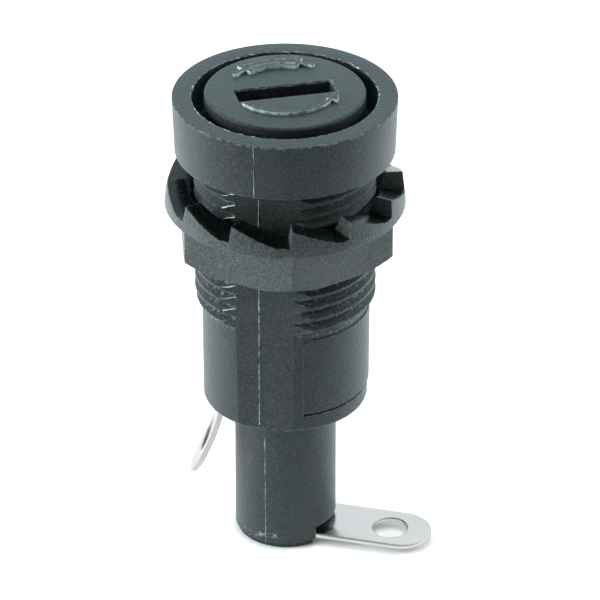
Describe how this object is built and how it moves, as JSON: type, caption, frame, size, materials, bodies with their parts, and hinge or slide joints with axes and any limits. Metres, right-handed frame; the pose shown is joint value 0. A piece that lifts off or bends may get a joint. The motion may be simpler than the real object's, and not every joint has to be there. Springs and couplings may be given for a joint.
{
  "type": "cartridge fuse holder",
  "caption": "Panel-mount cartridge fuse holder: round bezel with a slotted bayonet knob, threaded barrel with flats, ratchet hex nut, narrow tube and tinned solder tags.",
  "frame": {"origin": "on the holder's axis, in the plane where the bezel's underside meets the panel", "axes": "+Z along the axis, out of the panel towards the knob; +X along the base solder tag; the barrel's flats face +Y and -Y"},
  "size_m": [0.0189, 0.0166, 0.0349],
  "materials": {
    "moulded_black": "satin moulded thermoset",
    "moulded_nut_black": "satin moulded nylon",
    "moulded_knob_black": "satin moulded thermoset",
    "tinned_brass": "bright tin plate",
    "nickel_plate": "nickel plate",
    "fuse_glass": "clear glass",
    "fuse_wire": "drawn wire",
    "solder": "dull solder",
    "spring_steel": "drawn spring wire",
    "plunger_brass": "turned brass"
  },
  "bodies": {
    "holder": {"holder_body": "moulded_black", "side_terminal": "tinned_brass", "base_terminal": "tinned_brass", "base_rivet": "nickel_plate", "contact_spring": "spring_steel"},
    "nut": {"hex_nut": "moulded_nut_black"},
    "fuse": {"fuse_glass": "fuse_glass", "fuse_cap_upper": "nickel_plate", "fuse_cap_lower": "nickel_plate", "fuse_wire": "fuse_wire", "fuse_solder": "solder"},
    "carrier": {"carrier_knob": "moulded_knob_black", "carrier_clip": "tinned_brass", "clip_rivet": "nickel_plate"},
    "plunger": {"contact_plunger": "plunger_brass"}
  },
  "joints": [
    {"name": "nut_turn", "type": "hinge", "parent": "holder", "child": "nut", "pos_m": [0, 0, 0], "axis": [0, 0, 1], "continuous": true},
    {"name": "carrier_pull", "type": "slide", "parent": "holder", "child": "fuse", "axis": [0, 0, 1], "range_m": [0, 0.03]},
    {"name": "knob_turn", "type": "hinge", "parent": "fuse", "child": "carrier", "pos_m": [0, 0, 0], "axis": [0, 0, 1], "range_deg": [-60, 0]},
    {"name": "plunger_press", "type": "slide", "parent": "holder", "child": "plunger", "axis": [0, 0, -1], "range_m": [0, 0.0015], "stiffness_N_per_m": 600, "deforming": ["contact_spring"]}
  ]
}
